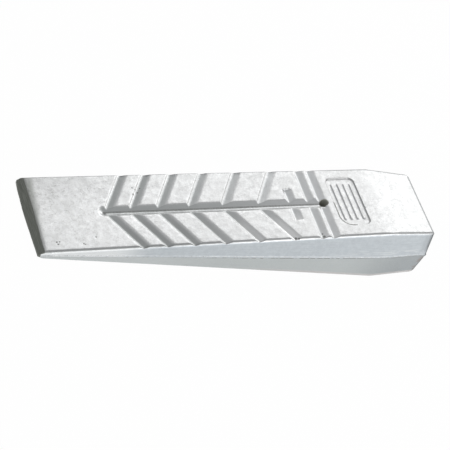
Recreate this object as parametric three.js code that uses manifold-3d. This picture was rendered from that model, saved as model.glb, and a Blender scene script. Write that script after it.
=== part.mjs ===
import {
  ArcCurve, Box3, BufferAttribute, BufferGeometry, CylinderGeometry, ExtrudeGeometry,
  Float32BufferAttribute, Group, MathUtils, Mesh, MeshStandardMaterial, Shape, Vector2, Vector3,
} from "three";
import { mergeVertices } from "three/addons/utils/BufferGeometryUtils.js";
import Module from "manifold-3d";

// Driving sizes of a drop-forged aluminium felling wedge, in millimetres and degrees.

// Side profile, from the cutting edge at x = 0 to the poll that is struck.
const wedgeLength = 260;
const edgeThickness = 0.8;
const bevelLength = 5.2;
const bevelThickness = 5.8;
const ridgeThickness = 39.8;
const pollLength = 32.2;
const pollThickness = 36;
const bevelBlendRadius = 8;
const ridgeBlendRadius = 90;
const pollEdgeRadius = 1.2;

// Plan, and the two drafted halves that meet at the trimmed parting line.
const wedgeWidth = 60;
const pollTaper = 2.7;
const edgeCrown = 1;
const edgeCornerRadius = 3;
const pollCornerRadius = 1.5;
const partingLand = 1.2;
const faceEdgeRadius = 1.4;
const sideDraftAngle = 7;
const pollDraftAngle = 3;

// Forged grip grooves in both faces: a steep wall that faces the poll, then a gentle ramp. They run
// out through the sides in the upper face, and stop short of them in the lower one.
const gripDepth = 1.3;
const gripWallRun = 1.9;
const gripRampRun = 4.8;
const gripFloorRadius = 1.2;
const gripLegAngle = 30;
const firstGripDistance = 46.4;
const gripPitch = 15.2;
const gripPitchShares = [1, 1.13, 1.31, 1.43, 1.55];
const lowerGripMargin = 5;

// Straight cross grooves in front of the hole: a short one, then two that cross the whole face.
const shortGrooveLength = 25;
const shortToCrossGroove = 12.2;
const crossGroovePitch = 7.8;
const crossGrooveToHole = 5;

// Groove along the middle of each face, with a steeper and a gentler wall, which runs into the hole
// for the lanyard.
const spineGrooveDistance = 44.4;
const spineSteepRun = 3.8;
const spineGentleRun = 4.3;
const spineGrooveDepth = 2.6;
const spineFloorRadius = 2.8;
const lanyardHoleDiameter = 5.8;
const lanyardHoleSideOffset = 0.9;
const holeToPanel = 6.7;

// Sunk panel between the hole and the ridge, with one wide corner, and plain raised bars on it.
const panelToRidge = 11.1;
const panelLength = 19.6;
const panelWidth = 38;
const panelSideOffset = 1;
const panelCornerRadius = 3.5;
const panelWideCornerRadius = 7;
const panelDepth = 0.9;
const barWidth = 1.4;
const barLength = 29;
const barCornerRadius = 0.6;
const barHeight = 0.5;
const barPitch = 4.2;
const barCount = 4;

const cutterOverrun = 6;
const arcSteps = 4;
const holeSides = 24;

const wasm = await Module();
wasm.setup();

const tangent = (angle) => Math.tan(MathUtils.degToRad(angle));

// Where the flat of the upper face would meet x = 0, and how steeply it climbs to the ridge.
const ridgeDistance = wedgeLength - pollLength;
const faceAngle = Math.atan2((ridgeThickness - bevelThickness) / 2, ridgeDistance - bevelLength);
const faceStartHeight = bevelThickness / 2 - bevelLength * Math.tan(faceAngle);

// Places along the face, measured from the cutting edge.
const panelDistance = ridgeDistance / Math.cos(faceAngle) - panelToRidge - panelLength;
const lanyardHoleDistance = panelDistance - holeToPanel;
const lastCrossDistance = lanyardHoleDistance - crossGrooveToHole;
const firstCrossDistance = lastCrossDistance - crossGroovePitch;
const shortGrooveDistance = firstCrossDistance - shortToCrossGroove;

// Turns a line through corners into one with a tangent arc of its own radius at each corner.
function roundedLine(corners) {
  const places = corners.map((corner) => new Vector2(corner.x, corner.y));
  const points = [places[0]];
  for (let i = 1; i + 1 < corners.length; i += 1) {
    const { radius } = corners[i];
    const before = places[i - 1].clone().sub(places[i]).normalize();
    const after = places[i + 1].clone().sub(places[i]).normalize();
    const halfAngle = Math.acos(before.dot(after)) / 2;
    const centre = before.clone().add(after).setLength(radius / Math.sin(halfAngle)).add(places[i]);
    const toTangent = radius / Math.tan(halfAngle);
    const start = before.multiplyScalar(toTangent).add(places[i]).sub(centre);
    const end = after.multiplyScalar(toTangent).add(places[i]).sub(centre);
    const clockwise = start.cross(end) < 0;
    const arc = new ArcCurve(centre.x, centre.y, radius, start.angle(), end.angle(), clockwise);
    points.push(...arc.getPoints(arcSteps));
  }
  return [...points, places[places.length - 1]];
}

// Height of a line of points at one distance.
function valueAt(points, distance) {
  const next = Math.max(1, points.findIndex((point) => point.x >= distance));
  const [low, high] = [points[next - 1], points[next]];
  const share = (distance - low.x) / (high.x - low.x);
  return MathUtils.lerp(low.y, high.y, share);
}

// Half thickness of the wedge along its length.
const heightLine = roundedLine([
  { x: 0, y: edgeThickness / 2 },
  { x: bevelLength, y: bevelThickness / 2, radius: bevelBlendRadius },
  { x: ridgeDistance, y: ridgeThickness / 2, radius: ridgeBlendRadius },
  { x: wedgeLength, y: pollThickness / 2, radius: pollEdgeRadius },
  { x: wedgeLength, y: 0 },
]).slice(0, -1);

// The cutting edge is bowed: its ends lie back by its crown, and this radius bends it there.
const bowPlace = wedgeWidth / 4;
const bowRadius = bowPlace / 1.5 / Math.tan(Math.atan2(edgeCrown, bowPlace) / 2);

// Half width at the parting line along its length.
const widthLine = roundedLine([
  { x: 0, y: 0 },
  { x: 0, y: bowPlace, radius: bowRadius },
  { x: edgeCrown, y: wedgeWidth / 2, radius: edgeCornerRadius },
  { x: ridgeDistance, y: wedgeWidth / 2, radius: ridgeBlendRadius },
  { x: wedgeLength, y: wedgeWidth / 2 - pollTaper, radius: pollCornerRadius },
  { x: wedgeLength, y: 0 },
]).slice(1, -1);

// One half of the section at a distance from the cutting edge: land, drafted side, rounded edge.
function halfSection(distance) {
  const height = valueAt(heightLine, distance);
  const width = valueAt(widthLine, distance);
  const land = Math.min(partingLand / 2, height / 2);
  const radius = Math.min(faceEdgeRadius, (height - land) / 2);
  const draft = MathUtils.degToRad(sideDraftAngle);
  const centreHeight = height - radius;
  const centreWidth = width - (centreHeight - land) * Math.tan(draft) - radius / Math.cos(draft);
  const points = [new Vector2(width, land)];
  for (let step = 0; step <= arcSteps; step += 1) {
    const angle = MathUtils.lerp(draft, Math.PI / 2, step / arcSteps);
    const across = centreWidth + radius * Math.cos(angle);
    points.push(new Vector2(across, centreHeight + radius * Math.sin(angle)));
  }
  return points;
}

// A whole ring of the body, with the poll's draft leaning its upper and lower halves back.
function bodyRing(distance) {
  const right = halfSection(distance);
  const left = right.map((point) => new Vector2(-point.x, point.y)).reverse();
  const upper = [...right, ...left];
  const lower = upper.map((point) => new Vector2(-point.x, -point.y));
  const pollShare = Math.max(0, distance - ridgeDistance) / pollLength;
  const lean = pollShare * tangent(pollDraftAngle);
  return [...upper, ...lower].map(
    (point) => new Vector3(distance - Math.abs(point.y) * lean, point.x, point.y),
  );
}

// Skins rings that have as many points each, and closes both ends, which are convex.
function loft(rings) {
  const count = rings[0].length;
  const triangles = [];
  for (let ring = 0; ring + 1 < rings.length; ring += 1) {
    for (let i = 0; i < count; i += 1) {
      const [a, b] = [ring * count + i, ring * count + ((i + 1) % count)];
      triangles.push(a, b, b + count, a, b + count, a + count);
    }
  }
  const last = (rings.length - 1) * count;
  for (let i = 1; i + 1 < count; i += 1) {
    triangles.push(0, i + 1, i, last, last + i, last + i + 1);
  }
  const places = rings.flat().flatMap((point) => point.toArray());
  const geometry = new BufferGeometry();
  geometry.setAttribute("position", new Float32BufferAttribute(places, 3));
  geometry.setIndex(triangles);
  return geometry;
}

// Outline of a V groove that starts at x = 0 on the face, with a rounded floor.
function groovePoints(firstRun, secondRun, depth, floorRadius) {
  const width = firstRun + secondRun;
  const outline = roundedLine([
    { x: 0, y: 0 },
    { x: firstRun, y: -depth, radius: floorRadius },
    { x: width, y: 0 },
  ]);
  return [new Vector2(0, cutterOverrun), ...outline, new Vector2(width, cutterOverrun)];
}

// A grip groove across the face, whose two legs lean towards the poll by an angle.
function gripGroove(distance, reach, legAngle) {
  const stretch = 1 / Math.cos(MathUtils.degToRad(legAngle));
  const profile = groovePoints(gripWallRun, gripRampRun, gripDepth, gripFloorRadius);
  const rings = [reach, 0, -reach].map((across) => profile.map((point) => {
    const along = distance + point.x * stretch + Math.abs(across) * tangent(legAngle);
    return new Vector3(along, across, point.y);
  }));
  return loft(rings);
}

// The groove along the middle, with a round end towards the cutting edge, as far as the hole.
function spineGroove(holeDistance) {
  const profile = groovePoints(spineSteepRun, spineGentleRun, spineGrooveDepth, spineFloorRadius);
  const rings = [];
  for (let step = 1; step <= arcSteps; step += 1) {
    const angle = (Math.PI / 2) * (step / arcSteps);
    const along = spineGrooveDistance + spineGentleRun * (1 - Math.cos(angle));
    rings.push({ along, share: Math.sin(angle) });
  }
  rings.push({ along: holeDistance, share: 1 });
  return loft(rings.map(({ along, share }) => profile.map(
    (point) => new Vector3(along, (point.x - spineSteepRun) * share, point.y * share),
  )));
}

// An upright block with rounded corners, from its centre's distance, size, radii, floor and height.
function roundedBlock(distance, length, width, [radius, wideRadius], floor, height) {
  const [x, y] = [length / 2, width / 2];
  const outline = roundedLine([
    { x, y: 0 },
    { x, y, radius },
    { x: -x, y, radius },
    { x: -x, y: -y, radius: wideRadius },
    { x, y: -y, radius },
    { x, y: 0 },
  ]).slice(0, -1);
  const block = new ExtrudeGeometry(new Shape(outline), { depth: height, bevelEnabled: false });
  return block.translate(distance, panelSideOffset, floor);
}

// Moves a cutter from the flat of a face to its place on the upper or the lower side.
function onFace(geometry, side) {
  geometry.rotateY(-faceAngle).translate(0, 0, faceStartHeight);
  return side === "lower" ? geometry.rotateX(Math.PI) : geometry;
}

// The lanyard hole goes through from its place on the upper face, a bit off the middle, square to
// the lower face.
function lanyardHole() {
  const radius = lanyardHoleDiameter / 2;
  const length = (ridgeThickness + cutterOverrun) * 2;
  const hole = new CylinderGeometry(radius, radius, length, holeSides);
  const along = lanyardHoleDistance * Math.cos(faceAngle);
  const height = faceStartHeight + lanyardHoleDistance * Math.sin(faceAngle);
  return hole.rotateX(Math.PI / 2).rotateY(faceAngle).translate(along, lanyardHoleSideOffset, height);
}

// How far along a face the hole opens, which on the lower face is a little nearer the edge.
function holeDistanceOn(side) {
  const sideShift = lanyardHoleDistance * (1 - Math.cos(faceAngle * 2));
  const startShift = 2 * faceStartHeight * Math.sin(faceAngle);
  return side === "lower" ? lanyardHoleDistance - sideShift - startShift : lanyardHoleDistance;
}

function toSolid(geometry) {
  const bare = geometry.index ? geometry : mergeVertices(geometry);
  bare.deleteAttribute("normal");
  bare.deleteAttribute("uv");
  const merged = mergeVertices(bare);
  const vertProperties = new Float32Array(merged.attributes.position.array);
  const triVerts = new Uint32Array(merged.index.array);
  return new wasm.Manifold(new wasm.Mesh({ numProp: 3, vertProperties, triVerts }));
}

function toGeometry(solid) {
  const mesh = solid.getMesh();
  const geometry = new BufferGeometry();
  geometry.setAttribute("position", new BufferAttribute(mesh.vertProperties, 3));
  geometry.setIndex(new BufferAttribute(mesh.triVerts, 1));
  geometry.computeVertexNormals();
  return geometry;
}

// Distances along the face at which the leaning grip grooves start.
function gripDistances() {
  const distances = [firstGripDistance];
  for (const share of gripPitchShares) {
    distances.push(distances[distances.length - 1] + gripPitch * share);
  }
  return distances;
}

const panelCentre = panelDistance + panelLength / 2;

function faceCutters(side) {
  const panelRadii = [panelCornerRadius, panelWideCornerRadius];
  const reach = wedgeWidth / 2 + (side === "lower" ? -lowerGripMargin : cutterOverrun);
  return [
    ...gripDistances().map((distance) => gripGroove(distance, reach, gripLegAngle)),
    gripGroove(lastCrossDistance, reach, 0),
    gripGroove(firstCrossDistance, reach, 0),
    gripGroove(shortGrooveDistance, shortGrooveLength / 2, 0),
    spineGroove(holeDistanceOn(side)),
    roundedBlock(panelCentre, panelLength, panelWidth, panelRadii, -panelDepth, cutterOverrun),
  ];
}

// The raised bars stand on the panel's floor, rooted as deep again as they are high.
function faceBars() {
  const floor = -panelDepth - barHeight;
  const barRadii = [barCornerRadius, barCornerRadius];
  return Array.from({ length: barCount }, (_, i) => {
    const centre = panelCentre + barPitch * (i - (barCount - 1) / 2);
    return roundedBlock(centre, barWidth, barLength, barRadii, floor, barHeight * 2);
  });
}

function wedgeBody() {
  const stations = [...heightLine, ...widthLine].map((point) => point.x).sort((a, b) => a - b);
  const spacing = wedgeLength / 1e5;
  const apart = stations.filter((x, i) => i === 0 || x - stations[i - 1] > spacing);
  let body = toSolid(loft(apart.map(bodyRing)));
  for (const side of ["upper", "lower"]) {
    for (const cutter of faceCutters(side)) {
      body = body.subtract(toSolid(onFace(cutter, side)));
    }
    for (const bar of faceBars()) {
      body = body.add(toSolid(onFace(bar, side)));
    }
  }
  return toGeometry(body.subtract(toSolid(lanyardHole())));
}

const forgedAluminium = new MeshStandardMaterial({ color: 0xd3d6d5, roughness: 0.42, metalness: 0.9 });
const body = new Mesh(wedgeBody(), forgedAluminium);
body.name = "wedge_body";

// The wedge lies on its lower face, so that face is level and the upper one slopes.
const lyingWedge = new Group();
lyingWedge.rotation.y = -faceAngle;
lyingWedge.add(body);

// The origin is the middle of the box that the lying wedge fills, at its base.
const part = new Group();
part.add(lyingWedge);
part.updateMatrixWorld(true);
const extent = new Box3().setFromObject(part, true);
const middle = extent.getCenter(new Vector3());
lyingWedge.position.set(-middle.x, -middle.y, -extent.min.z);

export default part;
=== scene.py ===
import math

import bmesh
import bpy
from mathutils import Matrix, Vector
from mathutils.geometry import intersect_plane_plane


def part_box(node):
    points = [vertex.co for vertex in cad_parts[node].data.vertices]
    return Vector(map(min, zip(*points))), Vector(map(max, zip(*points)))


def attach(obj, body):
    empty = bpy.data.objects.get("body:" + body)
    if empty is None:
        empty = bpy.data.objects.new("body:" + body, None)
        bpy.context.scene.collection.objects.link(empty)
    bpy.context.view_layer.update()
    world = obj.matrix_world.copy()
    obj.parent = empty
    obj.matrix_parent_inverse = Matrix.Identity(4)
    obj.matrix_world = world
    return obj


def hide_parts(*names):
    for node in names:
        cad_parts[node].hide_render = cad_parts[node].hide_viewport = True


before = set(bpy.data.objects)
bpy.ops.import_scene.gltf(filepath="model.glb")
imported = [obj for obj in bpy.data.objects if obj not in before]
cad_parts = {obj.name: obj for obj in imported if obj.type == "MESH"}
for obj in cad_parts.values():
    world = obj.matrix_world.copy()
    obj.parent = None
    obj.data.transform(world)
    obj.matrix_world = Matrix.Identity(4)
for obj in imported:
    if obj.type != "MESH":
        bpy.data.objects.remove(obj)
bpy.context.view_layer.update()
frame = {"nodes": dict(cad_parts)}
print("frame loaded:", ", ".join(frame["nodes"]))

mm = 0.001
scene = bpy.context.scene
scene.view_settings.view_transform = "Standard"

nearby = mm / 10  # places closer than this are the same one to a test
weld = mm / 200  # and vertices closer than this become one
onPlane = 1e-6


# Helpers for working as in the viewport

def deselectAll():
    bpy.ops.object.select_all(action="DESELECT")


def makeActive(piece):
    deselectAll()
    piece.select_set(True)
    bpy.context.view_layer.objects.active = piece


def startEditing(piece):
    makeActive(piece)
    bpy.ops.object.mode_set(mode="EDIT")


def stopEditing():
    # faces that the cuts filled may look inwards until here
    bpy.ops.mesh.select_all(action="SELECT")
    bpy.ops.mesh.normals_make_consistent(inside=False)
    bpy.ops.object.mode_set(mode="OBJECT")


def pick(kind, wanted):
    # selects the vertices, edges or faces of the edited piece that pass a test
    bpy.ops.mesh.select_mode(type=kind)
    bpy.ops.mesh.select_all(action="DESELECT")
    mesh = bmesh.from_edit_mesh(bpy.context.object.data)
    for part in {"VERT": mesh.verts, "EDGE": mesh.edges, "FACE": mesh.faces}[kind]:
        part.select_set(bool(wanted(part)))
    mesh.select_flush_mode()
    bmesh.update_edit_mesh(bpy.context.object.data)


def middleOf(edge):
    return (edge.verts[0].co + edge.verts[1].co) / 2


def riseOf(edge):
    return abs(edge.verts[0].co.z - edge.verts[1].co.z)


def cutOff(place, outward):
    # slices the edited piece with a plane and throws away what lies outside it
    bpy.ops.mesh.select_all(action="SELECT")
    bpy.ops.mesh.bisect(
        plane_co=place, plane_no=outward, use_fill=True, clear_outer=True, threshold=onPlane
    )


def addLoopAt(place, across):
    # scores the edited piece with a plane, as a loop cut does
    bpy.ops.mesh.select_all(action="SELECT")
    bpy.ops.mesh.bisect(plane_co=place, plane_no=across, threshold=onPlane)


def roundEdges(wanted, width, steps):
    pick("EDGE", wanted)
    bpy.ops.mesh.bevel(offset_type="OFFSET", offset=width, segments=steps, affect="EDGES")


def addBlock(low, high, name):
    low, high = Vector(low), Vector(high)
    deselectAll()
    bpy.ops.mesh.primitive_cube_add(size=1, location=(low + high) / 2, scale=high - low)
    bpy.ops.object.transform_apply(location=True, rotation=True, scale=True)
    block = bpy.context.object
    block.name = name
    return block


def applyModifier(piece, kind, **settings):
    makeActive(piece)
    modifier = piece.modifiers.new(kind.title(), kind)
    for name, value in settings.items():
        setattr(modifier, name, value)
    bpy.ops.object.modifier_apply(modifier=modifier.name)


def cutWith(piece, tool, operation="DIFFERENCE"):
    applyModifier(piece, "BOOLEAN", operation=operation, solver="EXACT", object=tool)
    bpy.data.objects.remove(tool)
    startEditing(piece)
    bpy.ops.mesh.select_all(action="SELECT")
    bpy.ops.mesh.remove_doubles(threshold=weld)
    stopEditing()


# The wedge as its two dies leave it: they meet at z = 0, and the cutting edge is at x = 0

wedge = {
    "length": 260 * mm,
    "width": 60 * mm,
    "edgeThickness": 0.9 * mm,
    "bevelLength": 5.2 * mm,
    "bevelThickness": 5.8 * mm,
    "ridgeThickness": 39.75 * mm,
    "pollLength": 32.2 * mm,
    "pollThickness": 35.95 * mm,
    "pollTaper": 2.7 * mm,
    "pollDraft": math.radians(3),
    "sideDraft": math.radians(7),
    "flashThickness": 1.3 * mm,
    "flashHeight": 0.25 * mm,
    "farBow": 1.5 * mm,
    "nearBow": 0.6 * mm,
    "farChamfer": (3.6 * mm, mm),
    "nearCornerRadius": 0.4 * mm,
    "bevelBlendRadius": 8 * mm,
    "ridgeBlendRadius": 90 * mm,
    "upperEdgeRadius": 2.2 * mm,
    "upperFarEdgeRadius": 1.1 * mm,
    "lowerEdgeRadius": 0.7 * mm,
    "pollEdgeRadius": 1.4 * mm,
    "pollCornerRadius": 4.5 * mm,
    "planSteps": 4,
    "bevelSteps": 5,
    "ridgeSteps": 6,
    "sideSteps": 4,
    "edgeSteps": 5,
    "overrun": 6 * mm,
}

ridgePlace = wedge["length"] - wedge["pollLength"]
faceRise = (wedge["ridgeThickness"] - wedge["bevelThickness"]) / 2
faceAngle = math.atan2(faceRise, ridgePlace - wedge["bevelLength"])
faceStart = wedge["bevelThickness"] / 2 - wedge["bevelLength"] * math.tan(faceAngle)
taperAngle = math.atan2(wedge["pollTaper"], wedge["pollLength"])


def addPlan(inset, thickness, name):
    # a plate of the wedge's outline: bowed cutting edge, one corner knocked off, tapered poll
    halfWidth, length = wedge["width"] / 2 - inset, wedge["length"] - inset
    plan = addBlock((0, -halfWidth, -thickness / 2), (length, halfWidth, thickness / 2), name)
    startEditing(plan)
    for side, bow in ((1, wedge["farBow"]), (-1, wedge["nearBow"])):
        cutOff((ridgePlace, side * halfWidth, 0), (math.sin(taperAngle), side * math.cos(taperAngle), 0))
        for share in (0.5, 1):
            slope = 2 * bow * share / halfWidth
            cutOff((bow * share ** 2, side * share * halfWidth, 0), (-1, side * slope, 0))
    chamferAlong, chamferAcross = wedge["farChamfer"]
    cutOff((wedge["farBow"], halfWidth - chamferAcross, 0), (-chamferAcross, chamferAlong, 0))
    # a corner's edges lie this near to its end, and this far out to its side
    cornerReach, cornerBand = 3 * mm, halfWidth * 0.88
    corners = [
        (0, -1, wedge["nearCornerRadius"]),
        (length, 1, wedge["pollCornerRadius"]),
        (length, -1, wedge["pollEdgeRadius"]),
    ]
    for end, side, radius in corners:
        roundEdges(
            lambda edge: riseOf(edge) > thickness / 2 and abs(middleOf(edge).x - end) < cornerReach
            and middleOf(edge).y * side > cornerBand,
            radius, wedge["planSteps"],
        )
    stopEditing()
    return plan


def roundBetween(first, second, radius, steps):
    # cuts the outer edge of two planes to an arc of so many flats
    place = intersect_plane_plane(*first, *second)[0]
    startNormal, endNormal = first[1], second[1]
    centre = place - (startNormal + endNormal) * radius / (1 + startNormal.dot(endNormal))
    for step in range(steps):
        outward = startNormal.slerp(endNormal, (step + 0.5) / steps)
        cutOff(centre + outward * radius, outward)


def topPlanes(up):
    # the cutting bevel, the face and the slope behind the ridge: each a place on it and its normal
    corners = [
        (0, wedge["edgeThickness"] / 2),
        (wedge["bevelLength"], wedge["bevelThickness"] / 2),
        (ridgePlace, wedge["ridgeThickness"] / 2),
        (wedge["length"], wedge["pollThickness"] / 2),
    ]
    return [
        (Vector((start, 0, up * low)), Vector((low - high, 0, up * (end - start))).normalized())
        for (start, low), (end, high) in zip(corners, corners[1:])
    ]


def sidePlanes(up, side, halfWidth):
    # the side along the body and its tapered end at the poll
    place = Vector((ridgePlace, side * halfWidth, 0))
    lean = up * math.tan(wedge["sideDraft"])
    pollNormal = Vector((math.sin(taperAngle), side * math.cos(taperAngle), lean)).normalized()
    return [(place, Vector((0, side, lean)).normalized()), (place, pollNormal)]


def addBlank():
    inset = wedge["flashHeight"]
    halfWidth, pollPlace = wedge["width"] / 2 - inset, wedge["length"] - inset
    blank = addPlan(inset, wedge["ridgeThickness"] + wedge["overrun"], "forgedWedge")
    startEditing(blank)
    for up in (1, -1):
        bevel, face, slope = topPlanes(up)
        pollNormal = Vector((1, 0, up * math.tan(wedge["pollDraft"]))).normalized()
        poll = (Vector((pollPlace, 0, 0)), pollNormal)
        sidePairs = {side: sidePlanes(up, side, halfWidth) for side in (1, -1)}
        for plane in [bevel, face, slope, poll, *sidePairs[1], *sidePairs[-1]]:
            cutOff(*plane)
        edgeRadii = {side: wedge["lowerEdgeRadius"] for side in (1, -1)}
        if up > 0:
            edgeRadii = {1: wedge["upperFarEdgeRadius"], -1: wedge["upperEdgeRadius"]}
        pollRadius = wedge["pollEdgeRadius"] if up > 0 else wedge["pollCornerRadius"]
        edgeSteps = wedge["edgeSteps"]
        roundBetween(bevel, face, wedge["bevelBlendRadius"], wedge["bevelSteps"])
        roundBetween(face, slope, wedge["ridgeBlendRadius"], wedge["ridgeSteps"])
        roundBetween(slope, poll, pollRadius, edgeSteps)
        for side, (bodySide, pollSide) in sidePairs.items():
            cornerRadius = wedge["pollCornerRadius"] if side > 0 else wedge["pollEdgeRadius"]
            roundBetween(bodySide, pollSide, wedge["ridgeBlendRadius"], wedge["sideSteps"])
            roundBetween(face, bodySide, edgeRadii[side], edgeSteps)
            roundBetween(slope, pollSide, edgeRadii[side], edgeSteps)
            roundBetween(poll, pollSide, cornerRadius, edgeSteps)
    stopEditing()
    return blank


def addFlash():
    # the band that stands proud where the dies met and the trimming tool left it
    flash = addPlan(0, wedge["flashThickness"], "flash")
    startEditing(flash)
    cutOff((wedge["bevelLength"], 0, 0), (-1, 0, 0))
    stopEditing()
    return flash


forgedWedge = addBlank()
cutWith(forgedWedge, addFlash(), "UNION")
print("blank with its flash line:", len(forgedWedge.data.polygons), "faces")


# Cutters are shaped on the flat of a face (z = 0) and then laid on the upper and the lower face

groove = {
    "depth": 1.3 * mm,
    "wallRun": 1.9 * mm,
    "rampRun": 4.8 * mm,
    "floorBlend": 0.35 * mm,
    "rampBlend": 0.6 * mm,
    "rampBlendRise": 0.02 * mm,
    "rampBlendShare": 0.95,
    "floorSteps": 3,
    "rampSteps": 4,
    "legAngle": math.radians(30),
    "gripPlaces": [46.4 * mm, 61.6 * mm, 78.8 * mm, 98.7 * mm, 120.5 * mm, 144 * mm],
    "shortPlace": 166.15 * mm,
    "shortLength": 25 * mm,
    "crossPlaces": [178.35 * mm, 186.15 * mm],
    "lowerMargin": 5 * mm,
}


def addGroove(place, reach, legAngle):
    # steep wall that faces the poll, rounded floor, gentle ramp, and legs that lean towards the poll
    stretch = 1 / math.cos(legAngle)
    run = (groove["wallRun"] + groove["rampRun"]) * stretch
    tool = addBlock((0, -reach, -groove["depth"]), (run, reach, wedge["overrun"]), "groove")
    startEditing(tool)
    addLoopAt((0, 0, 0), (0, 0, 1))
    pick("VERT", lambda vert: vert.co.z < -nearby)
    valley = (groove["wallRun"] * stretch, 0, 0)
    bpy.ops.transform.resize(value=(0, 1, 1), center_override=valley)
    bpy.ops.mesh.remove_doubles(threshold=weld)
    bottom = Vector((*valley[:2], -groove["depth"]))
    roundEdges(
        lambda edge: (middleOf(edge) - bottom).length < nearby,
        groove["floorBlend"], groove["floorSteps"],
    )
    # the ramp runs out into the face in a soft arc
    blend = groove["rampBlend"] * stretch
    pick("FACE", lambda face: face.normal.x > 0.9)
    bpy.ops.mesh.extrude_region_move(TRANSFORM_OT_translate={"value": (blend, 0, 0)})
    pick("VERT", lambda vert: vert.co.x > run + blend / 2 and vert.co.z < nearby)
    bpy.ops.transform.translate(value=(0, 0, groove["rampBlendRise"]))
    roundEdges(
        lambda edge: (middleOf(edge) - Vector((run, 0, 0))).length < nearby,
        blend * groove["rampBlendShare"], groove["rampSteps"],
    )
    if legAngle:
        addLoopAt((0, 0, 0), (0, 1, 0))
        pick("VERT", lambda vert: abs(vert.co.y) > reach / 2)
        bpy.ops.transform.translate(value=(reach * math.tan(legAngle), 0, 0))
    bpy.ops.mesh.select_all(action="SELECT")
    bpy.ops.transform.translate(value=(place, 0, 0))
    stopEditing()
    return tool


spine = {
    "start": 44.2 * mm,
    "steepRun": 3.8 * mm,
    "gentleRun": 4.3 * mm,
    "depth": 2.6 * mm,
    "floorBlend": 1.6 * mm,
    "floorSteps": 6,
    "holePlace": 191.15 * mm,
    "holeSideOffset": 0.9 * mm,
    "holeDiameter": 4.9 * mm,
    "roundSides": 64,
}


def addSpine():
    # a V along the middle, one wall steeper, closed by half a cone towards the cutting edge
    steep, gentle = spine["steepRun"], spine["gentleRun"]
    start = spine["start"] + gentle
    low, high = (start, -steep, -spine["depth"]), (spine["holePlace"], gentle, wedge["overrun"])
    tool = addBlock(low, high, "spine")
    startEditing(tool)
    addLoopAt((0, 0, 0), (0, 0, 1))
    pick("VERT", lambda vert: vert.co.z < -nearby)
    bpy.ops.transform.resize(value=(1, 0, 1), center_override=(0, 0, 0))
    bpy.ops.mesh.remove_doubles(threshold=weld)
    roundEdges(
        lambda edge: middleOf(edge).z < nearby - spine["depth"], spine["floorBlend"], spine["floorSteps"]
    )
    stopEditing()
    deselectAll()
    bpy.ops.mesh.primitive_cone_add(
        vertices=spine["roundSides"], radius1=0, radius2=gentle, depth=spine["depth"],
        location=(start, 0, -spine["depth"] / 2),
    )
    bpy.ops.object.transform_apply(location=True, rotation=True, scale=True)
    end = bpy.context.object
    startEditing(end)
    pick("FACE", lambda face: face.normal.z > 0.9)
    bpy.ops.mesh.extrude_region_move(TRANSFORM_OT_translate={"value": (0, 0, wedge["overrun"])})
    pick("VERT", lambda vert: vert.co.y < 0)
    bpy.ops.transform.resize(value=(1, steep / gentle, 1), center_override=(0, 0, 0))
    stopEditing()
    cutWith(tool, end, "UNION")
    return tool


panel = {
    "place": 197.76 * mm,
    "length": 18.8 * mm,
    "width": 38 * mm,
    "sideOffset": 1 * mm,
    "depth": 0.8 * mm,
    "cornerRadius": 3.5 * mm,
    "nearCornerRadius": 7 * mm,
    "barWidth": 1.4 * mm,
    "barLength": 29 * mm,
    "barHeight": 0.5 * mm,
    "barCorner": 0.6 * mm,
    "barPitch": 4.2 * mm,
    "barCount": 4,
    "cornerSteps": 6,
}


def addRoundedBlock(place, length, width, radii, floor, top, name):
    # the first radius is that of the corner on the near side, towards the cutting edge
    tool = addBlock(
        (place - length / 2, panel["sideOffset"] - width / 2, floor),
        (place + length / 2, panel["sideOffset"] + width / 2, top), name,
    )
    startEditing(tool)
    for nearCorner, radius in zip((True, False), radii):
        roundEdges(
            lambda edge: riseOf(edge) > nearby
            and (middleOf(edge).x < place and middleOf(edge).y < panel["sideOffset"]) == nearCorner,
            radius, panel["cornerSteps"],
        )
    stopEditing()
    return tool


def layOn(tool, up):
    # tips a cutter up to the slope of the face, and turns it over for the lower face
    tool.matrix_world = (
        Matrix.Rotation(0 if up > 0 else math.pi, 4, "X")
        @ Matrix.Translation((0, 0, faceStart))
        @ Matrix.Rotation(-faceAngle, 4, "Y")
    )
    makeActive(tool)
    bpy.ops.object.transform_apply(location=True, rotation=True, scale=True)
    return tool


def forgeFace(up):
    reach = wedge["width"] / 2 + (wedge["overrun"] if up > 0 else -groove["lowerMargin"])
    tools = [addGroove(place, reach, groove["legAngle"]) for place in groove["gripPlaces"]]
    tools += [addGroove(place, reach, 0) for place in groove["crossPlaces"]]
    tools.append(addGroove(groove["shortPlace"], groove["shortLength"] / 2, 0))
    tools.append(addSpine())
    centre, floor = panel["place"] + panel["length"] / 2, -panel["depth"]
    radii = (panel["nearCornerRadius"], panel["cornerRadius"])
    tools.append(addRoundedBlock(
        centre, panel["length"], panel["width"], radii, floor, wedge["overrun"], "panel"
    ))
    for tool in tools:
        cutWith(forgedWedge, layOn(tool, up))
    for index in range(panel["barCount"]):
        shift = panel["barPitch"] * (index - (panel["barCount"] - 1) / 2)
        bar = addRoundedBlock(
            centre + shift, panel["barWidth"], panel["barLength"], (panel["barCorner"],) * 2,
            floor - panel["barHeight"], floor + panel["barHeight"], "bar",
        )
        cutWith(forgedWedge, layOn(bar, up), "UNION")


def drillHole():
    deselectAll()
    bpy.ops.mesh.primitive_cylinder_add(
        vertices=spine["roundSides"], radius=spine["holeDiameter"] / 2, depth=wedge["width"] * 2
    )
    drill = bpy.context.object
    drill.matrix_world = (
        Matrix.Translation((
            spine["holePlace"] * math.cos(faceAngle), spine["holeSideOffset"],
            faceStart + spine["holePlace"] * math.sin(faceAngle),
        ))
        @ Matrix.Rotation(faceAngle, 4, "Y")
    )
    bpy.ops.object.transform_apply(location=True, rotation=True, scale=True)
    cutWith(forgedWedge, drill)


# Small dents and nicks in the upper face: place along the wedge, across it, and size in millimetres

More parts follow.
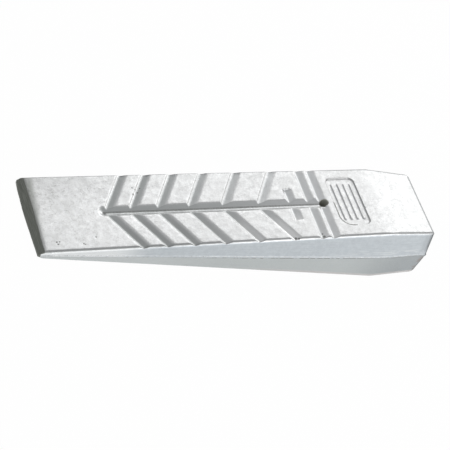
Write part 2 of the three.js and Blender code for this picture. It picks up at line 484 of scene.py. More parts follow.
dents = {
    "pits": [
        (13.1, -22.1, 0.6), (13.6, -23.7, 0.6), (14.9, -21.9, 0.5), (37.6, -19.4, 0.5),
        (29, -24, 0.45), (29.7, -24.7, 0.4), (71.9, 16.8, 0.6), (72.9, 14.8, 0.7), (70, 17.9, 0.5),
        (69.5, 13, 0.7), (75.3, 18.1, 0.5),
    ],
    "nicks": [(162.5, -26.6, 1), (164.3, -27.1, 0.8), (181.4, -26.2, 1), (181, -24, 0.6)],
    "pitSink": 0.5,
    "nickSink": 0.7,
    "pollwardStretch": 1.5,
}


def addDents(places, sink):
    for along, across, size in places:
        deselectAll()
        bpy.ops.mesh.primitive_ico_sphere_add(subdivisions=2, radius=size * mm)
        stone = bpy.context.object
        startEditing(stone)
        pick("VERT", lambda vert: vert.co.x > 0)
        bpy.ops.transform.resize(value=(dents["pollwardStretch"], 1, 1), center_override=(0, 0, 0))
        stopEditing()
        height = faceStart + along * mm * math.tan(faceAngle) + size * mm * (1 - sink)
        stone.location = (along * mm, across * mm, height)
        bpy.ops.object.transform_apply(location=True, rotation=True, scale=True)
        cutWith(forgedWedge, stone)


for up in (1, -1):
    forgeFace(up)
drillHole()
addDents(dents["pits"], dents["pitSink"])
addDents(dents["nicks"], dents["nickSink"])
print("grooves, panels and hole cut:", len(forgedWedge.data.polygons), "faces")


# Laid down on its lower face, at the frame's place

def layDown():
    # gives the place that the cutting edge's middle comes to
    low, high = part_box("wedge_body")
    forgedWedge.rotation_euler = (0, -faceAngle, 0)
    makeActive(forgedWedge)
    bpy.ops.object.transform_apply(location=True, rotation=True, scale=True)
    xs = [vert.co.x for vert in forgedWedge.data.vertices]
    zs = [vert.co.z for vert in forgedWedge.data.vertices]
    place = Vector((low.x + high.x - min(xs) - max(xs), 0, low.z + high.z - min(zs) - max(zs))) / 2
    forgedWedge.location = place
    bpy.ops.object.transform_apply(location=True, rotation=True, scale=True)
    return place


edgePlace = layDown()


# The skin: even quads, edges softened as blasting leaves them, forging waves, thinned where it is flat

skin = {
    "voxel": 0.3 * mm,
    "smoothing": 0.5,
    "smoothSteps": 2,
    "waveSize": 9 * mm,
    "waveDepth": 0.12 * mm,
    "grainSize": 1.7 * mm,
    "grainDepth": 0.05 * mm,
    "mostTriangles": 190000,
}


def roughen(piece, size, depth):
    # presses the skin inwards by up to this depth, in soft clouds of this size
    clouds = bpy.data.textures.new("clouds", "CLOUDS")
    clouds.noise_scale = size
    clouds.noise_depth = 2
    applyModifier(
        piece, "DISPLACE", texture=clouds, texture_coords="LOCAL", direction="NORMAL",
        mid_level=1, strength=depth,
    )


def makeSkin():
    applyModifier(forgedWedge, "REMESH", mode="VOXEL", voxel_size=skin["voxel"])
    print("skin:", len(forgedWedge.data.polygons), "faces")
    applyModifier(forgedWedge, "SMOOTH", factor=skin["smoothing"], iterations=skin["smoothSteps"])
    roughen(forgedWedge, skin["waveSize"], skin["waveDepth"])
    roughen(forgedWedge, skin["grainSize"], skin["grainDepth"])
    triangles = sum(len(face.vertices) - 2 for face in forgedWedge.data.polygons)
    applyModifier(forgedWedge, "DECIMATE", ratio=min(1, skin["mostTriangles"] / triangles))
    makeActive(forgedWedge)
    bpy.ops.object.shade_smooth()
    print("skin thinned:", len(forgedWedge.data.polygons), "faces")


makeSkin()

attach(forgedWedge, "root")
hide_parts("wedge_body")


# Shader helpers: arithmetic on a signal adds Math nodes

class Signal:
    def __init__(self, finish, socket):
        self.finish = finish
        self.socket = socket

    def maths(self, operation, *values):
        return self.finish.add("Math", {"operation": operation}, dict(enumerate(values)))

    def __add__(self, other):
        return self.maths("ADD", self, other)

    def __radd__(self, other):
        return self.maths("ADD", other, self)

    def __sub__(self, other):
        return self.maths("SUBTRACT", self, other)

    def __rsub__(self, other):
        return self.maths("SUBTRACT", other, self)

    def __mul__(self, other):
        return self.maths("MULTIPLY", self, other)

    def __rmul__(self, other):
        return self.maths("MULTIPLY", other, self)

    def __abs__(self):
        return self.maths("ABSOLUTE", self)

    def sign(self):
        return self.maths("SIGN", self)

    def greatest(self, other):
        return self.maths("MAXIMUM", self, other)

    def least(self, other):
        return self.maths("MINIMUM", self, other)

    def between(self, low, high):
        # low where the signal is 0, high where it is 1
        return low + self * (high - low)

    def fade(self, start, end):
        # 0 at start, 1 at end, smooth between them, whichever is the larger
        return self.finish.add(
            "MapRange", {"interpolation_type": "SMOOTHSTEP"},
            {"Value": self, "From Min": start, "From Max": end, "To Min": 0, "To Max": 1},
        )


class Finish:
    def __init__(self, name):
        self.material = bpy.data.materials.new(name)
        self.material.use_nodes = True
        self.tree = self.material.node_tree
        self.shader = self.tree.nodes["Principled BSDF"]

    def set(self, node, values):
        for key, value in values.items():
            socket = node.inputs[key]
            if isinstance(value, Signal):
                self.tree.links.new(value.socket, socket)
            else:
                socket.default_value = value

    def add(self, kind, settings, values, output=0):
        node = self.tree.nodes.new("ShaderNode" + kind)
        for name, value in settings.items():
            setattr(node, name, value)
        self.set(node, values)
        return Signal(self, node.outputs[output])

    def coordinates(self, kind):
        return self.add("TexCoord", {}, {}, output=kind)

    def split(self, vector):
        node = self.add("SeparateXYZ", {}, {"Vector": vector}).socket.node
        return [Signal(self, node.outputs[axis]) for axis in "XYZ"]

    def lengthOf(self, x, y):
        pair = self.add("CombineXYZ", {}, {"X": x, "Y": y})
        return self.add("VectorMath", {"operation": "LENGTH"}, {0: pair}, output="Value")

    def noise(self, place, size, detail, roughness):
        # grey clouds about this size in metres, from 0 to 1
        return self.add("TexNoise", {}, {
            "Vector": place, "Scale": 1 / size, "Detail": detail, "Roughness": roughness
        })

    def stretchedNoise(self, place, sizes, detail, roughness):
        # the same, as long, wide and high as these sizes
        stretched = self.add("Mapping", {"vector_type": "TEXTURE"}, {"Vector": place, "Scale": sizes})
        return self.noise(stretched, 1, detail, roughness)

    def blend(self, factor, start, end):
        return self.add("Mix", {"data_type": "RGBA"}, {0: factor, 6: start, 7: end}, output=2)

    def bump(self, height, depth, below=None):
        values = {"Height": height, "Distance": depth, "Strength": 1}
        if below:
            values["Normal"] = below
        return self.add("Bump", {}, values)


# The noises in the metal, each with its size or sizes, its detail and its roughness

noises = {
    "patches": (3.2 * mm, 5, 0.65),
    "specks": (1 * mm, 3, 0.6),
    "grain": (0.5 * mm, 2, 0.5),
    "clouds": (14 * mm, 4, 0.6),
    "creases": (7 * mm, 5, 0.6),
    "streaks": ((18 * mm, 1, 0.35 * mm), 3, 0.6),
    "gaps": ((5 * mm, 1, 1), 4, 0.7),
    "scuffs": ((14 * mm, 1, 0.8 * mm), 2, 0.5),
    "wheelMarks": ((0.25 * mm, 9 * mm, 1), 3, 0.6),
}

# Below, a pair of lengths or of parts of a normal says where a fade starts and where it is whole.
# A pair of strengths says how strong a mark is at its weakest and at its strongest.

surface = {
    "patches": (0.36, 0.66),
    "specks": (0.35, 0.65),
    "sideTurn": (0.78, 0.93),
    "sidePlace": (20.5 * mm, 21.5 * mm),
    "seamRise": 0.8 * mm,
    "seamRiseAlong": (195 * mm, 250 * mm),
}


def edgeInsets(along, across, height):
    # how far inside the planes of the sides and of the poll a spot lies
    fromSide = wedge["width"] / 2 - wedge["flashHeight"] - abs(across)
    fromSide = fromSide - abs(height) * math.tan(wedge["sideDraft"])
    fromSide = fromSide.least(fromSide - (along - ridgePlace) * math.tan(taperAngle))
    pollPlace = wedge["length"] - wedge["flashHeight"]
    return fromSide, pollPlace - along - abs(height) * math.tan(wedge["pollDraft"])


def faceInset(along, height):
    # how deep below the face, or below the slope behind the ridge, a spot lies
    slopeFall = (wedge["ridgeThickness"] - wedge["pollThickness"]) / 2 / wedge["pollLength"]
    slopeHeight = wedge["ridgeThickness"] / 2 - (along - ridgePlace) * slopeFall
    return (faceStart + along * math.tan(faceAngle)).least(slopeHeight) - abs(height)


class Spot:
    # what the material knows of a spot on the forging
    def __init__(self, metal):
        self.place = metal.coordinates("Object")
        self.towardsPoll, self.farwards = metal.split(metal.coordinates("Normal"))[:2]
        # as the dies see it: along from the cutting edge, across, up from the parting line
        back = Matrix.Rotation(faceAngle, 3, "Y") @ -edgePlace
        self.die = metal.add("Mapping", {}, {
            "Vector": self.place, "Rotation": (0, faceAngle, 0), "Location": back
        })
        self.along, self.across, self.height = metal.split(self.die)
        self.fromSide, self.fromPoll = edgeInsets(self.along, self.across, self.height)
        self.depth = faceInset(self.along, self.height)
        rise = self.along.fade(*surface["seamRiseAlong"]) * surface["seamRise"]
        self.aboveSeam = self.height - rise
        self.onSide = abs(self.farwards).fade(*surface["sideTurn"])
        self.onSide = self.onSide * abs(self.across).fade(*surface["sidePlace"])
        self.patches = metal.noise(self.place, *noises["patches"]).fade(*surface["patches"])
        self.specks = metal.noise(self.place, *noises["specks"]).fade(*surface["specks"])


# A dark tone, partly grime and partly painted shade in the valley, round the panel and in the dents
dirtAndShade = {
    "color": (0.2, 0.2, 0.19, 1),
    "valleyDepth": (1.75 * mm, 2.05 * mm),
    "valleyTurn": (0.05, -0.12),
    "valleyStrength": (0.45, 0.75),
    "wallTop": (0.2 * mm, 0.4 * mm),
    "wallFoot": (0.75 * mm, 0.55 * mm),
    "wallTurn": (0.25, 0.4),
    "wallLean": (-0.1, -0.2),
    "wallStrength": (0.36, 0.9),
    "dentShare": 0.9,
    "dentSize": (1.1, 0.5),
    "panelStrength": (0.7, 1),
    "panelShadeLine": 0.55 * mm,
    "cornerLine": 0.88 * mm,
    "lineCore": 0.35,
    "lineStrength": (0.35, 1),
    "lineShift": 0.35 * mm,
    "lineShiftReach": 4 * mm,
    "panelBlur": 0.3 * mm,
}


def dentShade(metal, spot):
    # painted shade inside the pits and nicks
    shade = 0
    start, end = dirtAndShade["dentSize"]
    for along, across, size in dents["pits"] + dents["nicks"]:
        distance = metal.lengthOf(spot.along - along * mm, spot.across - across * mm)
        shade = shade + distance.fade(size * start * mm, size * end * mm)
    return shade


def panelMasks(metal, spot):
    # a thin line of painted shade, with some grime, round the panel, and all within it; below, its
    # centre lies off to the other side
    facing = spot.height.sign()
    centreAlong = (panel["place"] + panel["length"] / 2) * math.cos(faceAngle)
    centreAcross = facing * panel["sideOffset"]
    nearCorner = spot.along.fade(centreAlong, centreAlong - mm)
    nearCorner = nearCorner * ((centreAcross - spot.across) * facing).fade(0, mm)
    radius = nearCorner.between(panel["cornerRadius"], panel["nearCornerRadius"])
    outside = metal.lengthOf(
        (abs(spot.along - centreAlong) - (panel["length"] / 2 - radius)).greatest(0),
        (abs(spot.across - centreAcross) - (panel["width"] / 2 - radius)).greatest(0),
    ) - radius
    # where the wall faces away from the camera, the painted shade line lies on the face beside it
    shifted = spot.along.fade(centreAlong, centreAlong - dirtAndShade["lineShiftReach"]).greatest(nearCorner)
    width = nearCorner.between(dirtAndShade["panelShadeLine"], dirtAndShade["cornerLine"])
    line = abs(outside - shifted * dirtAndShade["lineShift"]).fade(width, width * dirtAndShade["lineCore"])
    line = line * nearCorner.between(*dirtAndShade["lineStrength"])
    return line, outside.fade(dirtAndShade["panelBlur"], -dirtAndShade["panelBlur"])


def dirtAndShadeMask(metal, spot, panelShadeLine):
    # dark in the deepest valley, painted shade where the V closes; a grey line half-way up the walls
    # that face the poll; painted shade round the panel and inside the dents, with some grime
    valley = spot.depth.fade(*dirtAndShade["valleyDepth"]) * spot.farwards.fade(*dirtAndShade["valleyTurn"])
    walls = spot.depth.fade(*dirtAndShade["wallTop"]) * spot.depth.fade(*dirtAndShade["wallFoot"])
    walls = walls * spot.towardsPoll.fade(*dirtAndShade["wallTurn"]) * spot.farwards.fade(*dirtAndShade["wallLean"])
    total = valley * spot.specks.between(*dirtAndShade["valleyStrength"])
    total = total + walls * spot.patches.between(*dirtAndShade["wallStrength"])
    total = total + panelShadeLine * spot.patches.between(*dirtAndShade["panelStrength"])
    total = total + dentShade(metal, spot) * spot.height.fade(0, mm) * dirtAndShade["dentShare"]
    return total.least(1)


faces = {
    "bright": (0.97, 0.975, 0.975, 1),
    "dull": (0.82, 0.825, 0.82, 1),
    "patchShare": 0.45,
    "smudge": (0.52, 0.52, 0.5, 1),
    "smudgeClouds": (0.48, 0.7),
    "smudgeSpecks": (0.1, 0.9),
    "smudgeStrength": (0.12, 0.54),
    "creaseWidth": 0.02,
    "creasePatches": (0.8, 0.2),
    "creaseStrength": (0.15, 0.5),
    "growthAlong": (150 * mm, 10 * mm),
    "growthAcross": (-22 * mm, 8 * mm),
    "growthStrength": (0.25, 1),
    "dimAlong": (20 * mm, 150 * mm),
    "dimShare": 0.18,
    "slopeAlong": (214 * mm, 230 * mm),
    "slopeStrength": (1, 0.85),
    "tarnishAcross": (0, 26 * mm),
    "tarnishAlong": (75 * mm, 30 * mm),
    "tarnishShare": 0.15,
    # painted shade on the ramps and floors of the grooves
    "recessShadeAtEdge": (0.55, 0.57, 0.565, 1),
    "recessShadeAtPoll": (0.77, 0.78, 0.785, 1),
    "nearRecessShadeAtEdge": (0.49, 0.505, 0.5, 1),
    "nearRecessShadeAtPoll": (1, 1, 1, 1),
    "nearAcross": (-4 * mm, -16 * mm),
    "nearAlong": (177 * mm, 172 * mm),
    "palerFrom": (70 * mm, 88 * mm),
    "palerTo": (200 * mm, 165 * mm),
    "recessDepth": (0.1 * mm, 0.7 * mm),
    "recessShadeShare": 0.85,
    "wallTurn": (0.2, 0.35),
    "sideWallTurn": (0.2, 0.28),
}


def blastedColor(metal, spot, mottle, smudges):
    # greyer away from the cutting edge, and tarnished at its far corner
    color = metal.blend(mottle, faces["dull"], faces["bright"])
    color = metal.blend(smudges, color, faces["smudge"])
    dim = spot.along.fade(*faces["dimAlong"])
    dim = dim * spot.along.fade(*faces["slopeAlong"]).between(*faces["slopeStrength"])
    tarnish = spot.across.fade(*faces["tarnishAcross"]) * spot.along.fade(*faces["tarnishAlong"])
    level = 1 - dim * faces["dimShare"] - tarnish * faces["tarnishShare"]
    return metal.add("VectorMath", {"operation": "SCALE"}, {0: color, "Scale": level})


def recessShadeColor(metal, spot):
    # painted shade in the recesses: paler towards the poll, and over a wider span on the near side,
    # where the legs lean
    near = spot.across.fade(*faces["nearAcross"]) * spot.along.fade(*faces["nearAlong"])
    atEdge = metal.blend(near, faces["recessShadeAtEdge"], faces["nearRecessShadeAtEdge"])
    atPoll = metal.blend(near, faces["recessShadeAtPoll"], faces["nearRecessShadeAtPoll"])
    paler = spot.along.fade(near.between(*faces["palerFrom"]), near.between(*faces["palerTo"]))
    return metal.blend(paler, atEdge, atPoll)


def paintFaces(metal, spot):
    # mottled and wrinkled, with smudges that grow towards the cutting edge, painted shade in the
    # recesses, and grime mixed with painted shade
    mottle = spot.patches * faces["patchShare"] + spot.specks * (1 - faces["patchShare"])
    growth = spot.across.fade(*faces["growthAcross"]).between(*faces["growthStrength"])
    growth = growth * spot.along.fade(*faces["growthAlong"])
    smudges = metal.noise(spot.place, *noises["clouds"]).fade(*faces["smudgeClouds"])
    smudges = smudges * spot.specks.fade(*faces["smudgeSpecks"])
    smudges = smudges * growth.between(*faces["smudgeStrength"])
    creases = abs(metal.noise(spot.place, *noises["creases"]) - 0.5).fade(faces["creaseWidth"], 0)
    creases = creases * spot.patches.fade(*faces["creasePatches"])
    smudges = smudges + creases * growth.between(*faces["creaseStrength"])
    color = blastedColor(metal, spot, mottle, smudges)
    onWall = spot.towardsPoll.fade(*faces["wallTurn"])
    onWall = onWall.greatest(spot.farwards.fade(*faces["sideWallTurn"]))
    sunk = spot.depth.fade(*faces["recessDepth"]) * (1 - spot.onSide) * (1 - onWall)
    panelShadeLine, inPanel = panelMasks(metal, spot)
    # painted shade on the sunk ramps and floors, outside the panel
    color = metal.blend(sunk * (1 - inPanel) * faces["recessShadeShare"], color, recessShadeColor(metal, spot))
    # grime mixed with painted shade in the valley, round the panel and in the dents
    dirtAndShadeAmount = dirtAndShadeMask(metal, spot, panelShadeLine)
    return metal.blend(dirtAndShadeAmount, color, dirtAndShade["color"]), mottle, smudges, dirtAndShadeAmount


sides = {
    # painted reflection and shade: the sides darker and bluer than the faces, bluish above the seam and
    # greyer below it
    "upper": (0.715, 0.76, 0.79, 1),
    "lower": (0.67, 0.7, 0.69, 1),
    "dark": (0.6, 0.64, 0.67, 1),
    "worn": (0.97, 0.99, 0.99, 1),
    "foot": (0.75, 0.73, 0.72, 1),
    "struck": (0.48, 0.51, 0.52, 1),
    "rust": (0.36, 0.3, 0.27, 1),
    "streaks": (0.3, 0.7),
    "streakShare": 0.6,
    "lowerStreakShare": 0.4,
    "upperWornAlong": (75 * mm, 45 * mm),
    "upperWornShare": 0.9,
    "lowerWornAlong": (130 * mm, 60 * mm),
    "lowerWornShare": 0.22,
    "struckAlong": (202 * mm, 250 * mm),
    "footDepth": (2.8 * mm, 1.9 * mm),
    "footAlong": (110 * mm, 190 * mm),
    "footShare": 0.9,
    "upperFoot": (0.2 * mm, -0.4 * mm),
    "scuffs": (0.54, 0.62),
    "scuffTop": (7 * mm, 3 * mm),
    "scuffFoot": (0.8 * mm, 1.4 * mm),
    "scuffAlong": (175 * mm, 215 * mm),
    "scuffShare": 0.6,
    "rustTop": (-1 * mm, -2 * mm),
    "rustInset": (5 * mm, 2 * mm),
    "rustPatches": (0.3, 0.7),
    "rustShare": 0.8,
}

seam = {
    # the painted highlight's tone, also used for the scuffs
    "highlight": (0.9, 0.92, 0.92, 1),
    "half": 0.5 * mm,
    "wander": 0.5 * mm,
    "highlightEdge": (0.5 * mm, 0.15 * mm),
    "highlightGaps": (0.4, 0.6),
    "highlightAlong": (85 * mm, 120 * mm),
    "highlightShare": 0.5,
    "shadowEdge": (0.6 * mm, 0.15 * mm),
    "shadowGaps": (0.52, 0.58),
    "shadowShare": 0.85,
    "closedAlong": (60 * mm, 210 * mm),
    "closedShare": 0.1,
    "startAlong": (90 * mm, 130 * mm),
    "startStrength": (0.35, 1),
    "endAlong": (200 * mm, 225 * mm),
    "endStrength": (1, 0.2),
}


def seamMasks(metal, spot):
    # painted highlight and painted shadow along the trimmed flash: a light upper half, and a dark lower
    # one with gaps that close towards the poll
    gaps = metal.stretchedNoise(spot.die, *noises["gaps"])
    height = spot.aboveSeam + (gaps - 0.5) * seam["wander"]
    highlight = abs(height - seam["half"]).fade(*seam["highlightEdge"]) * gaps.fade(*seam["highlightGaps"])
    closed = gaps + spot.along.fade(*seam["closedAlong"]) * seam["closedShare"]
    # painted shadow under the flash
    dark = abs(height + seam["half"]).fade(*seam["shadowEdge"]) * closed.fade(*seam["shadowGaps"])
    dark = dark * spot.along.fade(*seam["startAlong"]).between(*seam["startStrength"])
    dark = dark * spot.along.fade(*seam["endAlong"]).between(*seam["endStrength"])
    return highlight * seam["highlightShare"], dark * seam["shadowShare"]


def lowerSideColor(metal, spot, streaky):
    # painted shade: greyer than the upper half, for the shaded floor that it reflects; worn towards the
    # cutting edge, struck at the poll, pale at its foot
    color = metal.blend(streaky * sides["lowerStreakShare"], sides["lower"], sides["dark"])
    worn = spot.along.fade(*sides["lowerWornAlong"]) * sides["lowerWornShare"]
    color = metal.blend(worn, color, sides["worn"])
    color = metal.blend(spot.along.fade(*sides["struckAlong"]), color, sides["struck"])
    foot = spot.depth.fade(*sides["footDepth"]) * spot.along.fade(*sides["footAlong"])
    return metal.blend(foot * sides["footShare"], color, sides["foot"])


def paintSides(metal, spot, faceColor):
    # fine streaks along the draft, painted reflection and shade in two tones above and below the seam of
    # the dies, painted highlight and shadow on the seam, scuffs and some rust at the poll
    streaks = metal.stretchedNoise(spot.die, *noises["streaks"])
    streaky = streaks.fade(*sides["streaks"]) * sides["streakShare"]
    streaky = streaky + spot.patches * (1 - sides["streakShare"])
    # painted reflection: the upper half bluish grey
    color = metal.blend(streaky, sides["dark"], sides["upper"])
    worn = spot.along.fade(*sides["upperWornAlong"]) * sides["upperWornShare"]
    color = metal.blend(worn, color, sides["worn"])
    below = spot.aboveSeam.fade(*sides["upperFoot"])
    color = metal.blend(below, color, lowerSideColor(metal, spot, streaky))
    seamHighlight, seamShadow = seamMasks(metal, spot)
    seamHighlightColor = metal.blend(spot.along.fade(*seam["highlightAlong"]), sides["dark"], seam["highlight"])
    # painted highlight along the flash, dulled towards the cutting edge
    color = metal.blend(seamHighlight, color, seamHighlightColor)
    scuffs = metal.stretchedNoise(spot.die, *noises["scuffs"]).fade(*sides["scuffs"])
    scuffs = scuffs * spot.aboveSeam.fade(*sides["scuffTop"])
    scuffs = scuffs * spot.aboveSeam.fade(*sides["scuffFoot"])
    scuffs = scuffs * spot.along.fade(*sides["scuffAlong"])
    # scuffs, in the pale tone of the painted highlight
    color = metal.blend(scuffs * sides["scuffShare"], color, seam["highlight"])
    # painted shadow under the flash
    color = metal.blend(seamShadow, color, dirtAndShade["color"])
    color = metal.blend(spot.onSide, faceColor, color)
    rusty = spot.aboveSeam.fade(*sides["rustTop"]) * spot.fromPoll.fade(*sides["rustInset"])
    rusty = rusty * spot.patches.fade(*sides["rustPatches"]) * spot.onSide
    return metal.blend(rusty * sides["rustShare"], color, sides["rust"]), streaks


# painted shade along the rounded edges, on the flats near the poll and at the end of the sides
rimShading = {
    "color": (0.2, 0.21, 0.215, 1),
    "turnStart": (0.1, 0.22),
    "turnEnd": (0.76, 0.62),
    "inset": (2.5 * mm, 2 * mm),
    "farShare": 0.9,
    "nearLossAlong": (60 * mm, 230 * mm),
    "nearLoss": (0.4, 0.55),
    "pollInset": (2.2 * mm, 1.6 * mm),
    "pollTurn": (0.85, 0.95),
    "pollShare": 0.8,
    "pollTurnStart": (0.08, 0.2),
    "pollTurnEnd": (0.92, 0.8),
    "cornerTurn": (0.25, 0.6),
    "cornerStrength": (0.85, 0.95),
    "flatPollInset": (2 * mm, 1.5 * mm),
    "flatSideInset": (1.5 * mm, 1.1 * mm),
    "flatSideAlong": (190 * mm, 215 * mm),
    "flatShare": 0.5,
    "endInset": (7.5 * mm, 4.5 * mm),
    "endShare": 0.2,
    "lastInset": (3.5 * mm, mm),
    "lastShare": 0.65,
    "endHeight": (-mm, 8 * mm),
    "most": 0.95,
}


def rimShadeMask(spot, onPoll, nearPoll):
    # painted shade: dark lines along the rounded edges and on the flats beside the poll and the near
    # side, and shade at the end of the sides
    outwards = spot.farwards * spot.across.sign()
    onRim = outwards.fade(*rimShading["turnStart"]) * outwards.fade(*rimShading["turnEnd"])
    onRim = onRim * spot.fromSide.fade(*rimShading["inset"])
    nearLoss = spot.along.fade(*rimShading["nearLossAlong"]).between(*rimShading["nearLoss"])
    nearLoss = nearLoss * spot.across.fade(0, -mm)
    onPollRim = spot.towardsPoll.fade(*rimShading["pollTurnStart"])
    onPollRim = onPollRim * spot.towardsPoll.fade(*rimShading["pollTurnEnd"]) * nearPoll
    onCorner = abs(spot.farwards).fade(*rimShading["cornerTurn"]).between(*rimShading["cornerStrength"])
    rimShade = onRim * (rimShading["farShare"] - nearLoss) + onPollRim * onCorner
    flatPoll = spot.fromPoll.fade(*rimShading["flatPollInset"]) * (1 - onPoll)
    flatSide = spot.fromSide.fade(*rimShading["flatSideInset"]) * spot.along.fade(*rimShading["flatSideAlong"])
    flat = flatPoll.greatest(flatSide * spot.across.fade(0, mm)) * (1 - spot.onSide)
    sideEnd = spot.fromPoll.fade(*rimShading["endInset"]) * rimShading["endShare"]
    sideEnd = sideEnd + spot.fromPoll.fade(*rimShading["lastInset"]) * rimShading["lastShare"]
    sideEnd = sideEnd * spot.onSide * spot.aboveSeam.fade(*rimShading["endHeight"])
    return (rimShade.greatest(flat * rimShading["flatShare"]) + sideEnd).least(rimShading["most"])


# the hole's wall is painted a dull grey, for the shade inside the hole
boreShade = {
    "color": (0.5, 0.5, 0.45, 1),
    "edge": (0.35 * mm, 0.1 * mm),
}


def boreMask(metal, spot):
    # the wedge lies so that its hole is upright
    mouth = Vector((spine["holePlace"] * math.cos(faceAngle), spine["holeSideOffset"], 0))
    mouth.z = faceStart + spine["holePlace"] * math.sin(faceAngle)
    mouth = Matrix.Rotation(-faceAngle, 3, "Y") @ mouth + edgePlace
    x, y = metal.split(spot.place)[:2]
    outside = metal.lengthOf(x - mouth.x, y - mouth.y) - spine["holeDiameter"] / 2
    return outside.fade(*boreShade["edge"])


def paintPollAndRimShade(metal, spot, color):
    # struck poll, with painted shade along the rims and inside the hole
    nearPoll = spot.fromPoll.fade(*rimShading["pollInset"])
    onPoll = spot.towardsPoll.fade(*rimShading["pollTurn"]) * nearPoll
    color = metal.blend(onPoll * rimShading["pollShare"], color, sides["struck"])
    rimShade = rimShadeMask(spot, onPoll, nearPoll)
    # painted shade along the rims
    color = metal.blend(rimShade, color, rimShading["color"])
    # painted shade inside the hole
    inBore = boreMask(metal, spot)
    return metal.blend(inBore, color, boreShade["color"]), rimShade.greatest(inBore)


bevels = {
    "ground": (0.2, 0.21, 0.185, 1),
    "groundStreak": (0.32, 0.33, 0.3, 1),
    "stain": (0.36, 0.37, 0.35, 1),
    "end": 5.4 * mm,
    "endBlur": 0.25 * mm,
    "endWander": 0.4 * mm,
    "skew": 0.9 * mm,
    "skewAcross": (12 * mm, -29 * mm),
    "tip": (2.6 * mm, 1.9 * mm),
    "stainEnd": 10 * mm,
    "stainSpread": 0.09,
    "stainStrength": (0.7, 1),
    "wheelMarks": (0.35, 0.7),
    "burrInset": 0.3 * mm,
    "burrEdge": (0.6 * mm, 0.1 * mm),
    "burrShare": 0.35,
}


def paintBevels(metal, spot, color):
    # the wheel's marks across the cutting bevels, a burr line and a stain behind it
    skew = spot.across.fade(*bevels["skewAcross"]) * bevels["skew"]
    edge = spot.along + (spot.patches - 0.5) * bevels["endWander"] + skew
    end, blur = bevels["end"], bevels["endBlur"]
    ground = edge.fade(end + blur, end - blur) * (1 - spot.onSide)
    ground = ground.greatest(spot.along.fade(*bevels["tip"]))
    stain = (edge - spot.across * bevels["stainSpread"]).fade(bevels["stainEnd"], end)
    stain = stain * spot.patches.between(*bevels["stainStrength"]) * (1 - spot.onSide)
    color = metal.blend(stain, color, bevels["stain"])
    wheelMarks = metal.stretchedNoise(spot.die, *noises["wheelMarks"])
    groundColor = metal.blend(
        wheelMarks.fade(*bevels["wheelMarks"]), bevels["ground"], bevels["groundStreak"]
    )
    burr = abs(edge - (end - bevels["burrInset"])).fade(*bevels["burrEdge"])
    groundColor = metal.blend(burr * bevels["burrShare"], groundColor, dirtAndShade["color"])
    return metal.blend(ground, color, groundColor), ground, wheelMarks


shine = {
    "face": 0.3,
    "side": 0.42,
    "ground": 0.34,
    "dullSpread": 0.16,
    "smudgeSpread": 0.2,
    "dirtAndShadeCover": 0.75,
    "grainDepth": 0.03 * mm,
    "streakDepth": 0.04 * mm,
}


def makeForgedAluminium():
    metal = Finish("forgedAluminium")
    spot = Spot(metal)
    color, mottle, smudges, dirtAndShadeAmount = paintFaces(metal, spot)
    color, streaks = paintSides(metal, spot, color)
    color, rimShadeAndBore = paintPollAndRimShade(metal, spot, color)
    color, ground, wheelMarks = paintBevels(metal, spot, color)
    rough = shine["face"] + (1 - mottle) * shine["dullSpread"] + smudges * shine["smudgeSpread"]
    rough = rough + spot.onSide * (shine["side"] - shine["face"])
    rough = rough + ground * (shine["ground"] - shine["face"])
    grain = metal.noise(spot.place, *noises["grain"])
    grainBump = metal.bump(grain * (1 - ground) + wheelMarks * ground, shine["grainDepth"])
    streakBump = metal.bump(streaks * spot.onSide, shine["streakDepth"], grainBump)
    # grime and the painted shade in the valley, dents, panel line, rims and hole do not shine as metal
    # does
    bare = 1 - dirtAndShadeAmount.greatest(rimShadeAndBore) * shine["dirtAndShadeCover"]
    metal.set(metal.shader, {
        "Base Color": color, "Metallic": bare, "Roughness": rough, "Normal": streakBump,
    })
    return metal.material


forgedWedge.data.materials.clear()
forgedWedge.data.materials.append(makeForgedAluminium())
print("material made")


# Floor, light and camera

studio = {
    "floorSize": 8,
    "floorColor": (0.9, 0.9, 0.9, 1),
    "floorSeen": 0.985,
    "floorReflected": (0.48, 0.95),
    "farFloor": (0.05, 0.2),
    "worldColor": (0.41, 0.415, 0.42, 1),
}

# Each softbox: place, size and power
softboxes = {
    "mainSoftbox": ((0.589, 0.618, 0.418), 1.1, 4.35),
    "cameraSoftbox": ((0.397, -0.75, 0.33), 0.72, 2.6),
}

shot = {
    "azimuth": math.radians(-38.976),
    "elevation": math.radians(39.035),
    "roll": math.radians(31.127),
    "distance": 1322.2 * mm,
    "aim": Vector((0.75 * mm, 0.04 * mm, 8.14 * mm)),
    "lens": 174.73,
}


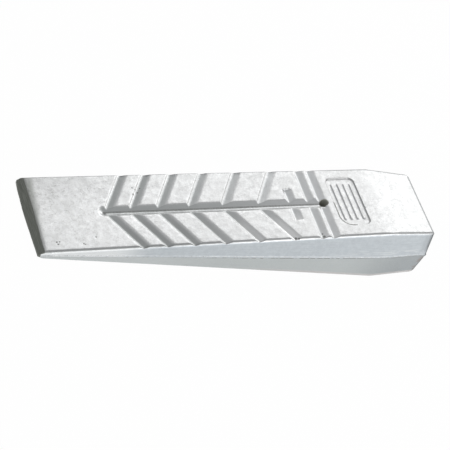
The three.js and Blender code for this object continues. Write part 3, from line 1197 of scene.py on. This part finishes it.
def addCamera():
    azimuth, elevation = shot["azimuth"], shot["elevation"]
    back = Vector((
        math.sin(azimuth) * math.cos(elevation),
        -math.cos(azimuth) * math.cos(elevation),
        math.sin(elevation),
    ))
    level = Vector((math.cos(azimuth), math.sin(azimuth), 0))
    right = Matrix.Rotation(shot["roll"], 3, back) @ level
    up = back.cross(right)
    deselectAll()
    bpy.ops.object.camera_add(location=shot["aim"] + back * shot["distance"])
    camera = bpy.context.object
    camera.rotation_euler = Matrix((right, up, back)).transposed().to_euler()
    camera.data.lens = shot["lens"]
    scene.camera = camera


def addFloor():
    # white to the camera, and in the metal, most so behind the wedge; it keeps some shading and shadow
    deselectAll()
    bpy.ops.mesh.primitive_plane_add(size=studio["floorSize"])
    floor = bpy.context.object
    floor.name = "floor"
    paper = Finish("floor")
    paper.set(paper.shader, {
        "Base Color": studio["floorColor"], "Roughness": 1, "Specular IOR Level": 0,
    })
    rays = paper.add("LightPath", {}, {}).socket.node
    seen = Signal(paper, rays.outputs["Is Camera Ray"]) * studio["floorSeen"]
    reflected = Signal(paper, rays.outputs["Is Glossy Ray"]).greatest(
        Signal(paper, rays.outputs["Is Transmission Ray"])
    )
    farwards = paper.split(paper.coordinates("Object"))[1]
    level = farwards.fade(*studio["farFloor"]).between(*studio["floorReflected"])
    seen = seen.greatest(reflected * level)
    white = paper.add("Emission", {}, {"Color": (1, 1, 1, 1), "Strength": 1})
    plain = Signal(paper, paper.shader.outputs["BSDF"])
    surface = paper.add("MixShader", {}, {0: seen, 1: plain, 2: white})
    paper.set(paper.tree.nodes["Material Output"], {"Surface": surface})
    floor.data.materials.append(paper.material)


def addLights():
    for name, (place, size, power) in softboxes.items():
        deselectAll()
        bpy.ops.object.light_add(type="AREA", location=place)
        softbox = bpy.context.object
        softbox.name = name
        softbox.data.size = size
        softbox.data.energy = power
        softbox.rotation_euler = Vector(place).to_track_quat("Z", "Y").to_euler()
    world = bpy.data.worlds.new("studio")
    scene.world = world
    world.use_nodes = True
    world.node_tree.nodes["Background"].inputs["Color"].default_value = studio["worldColor"]


addCamera()
addFloor()
addLights()
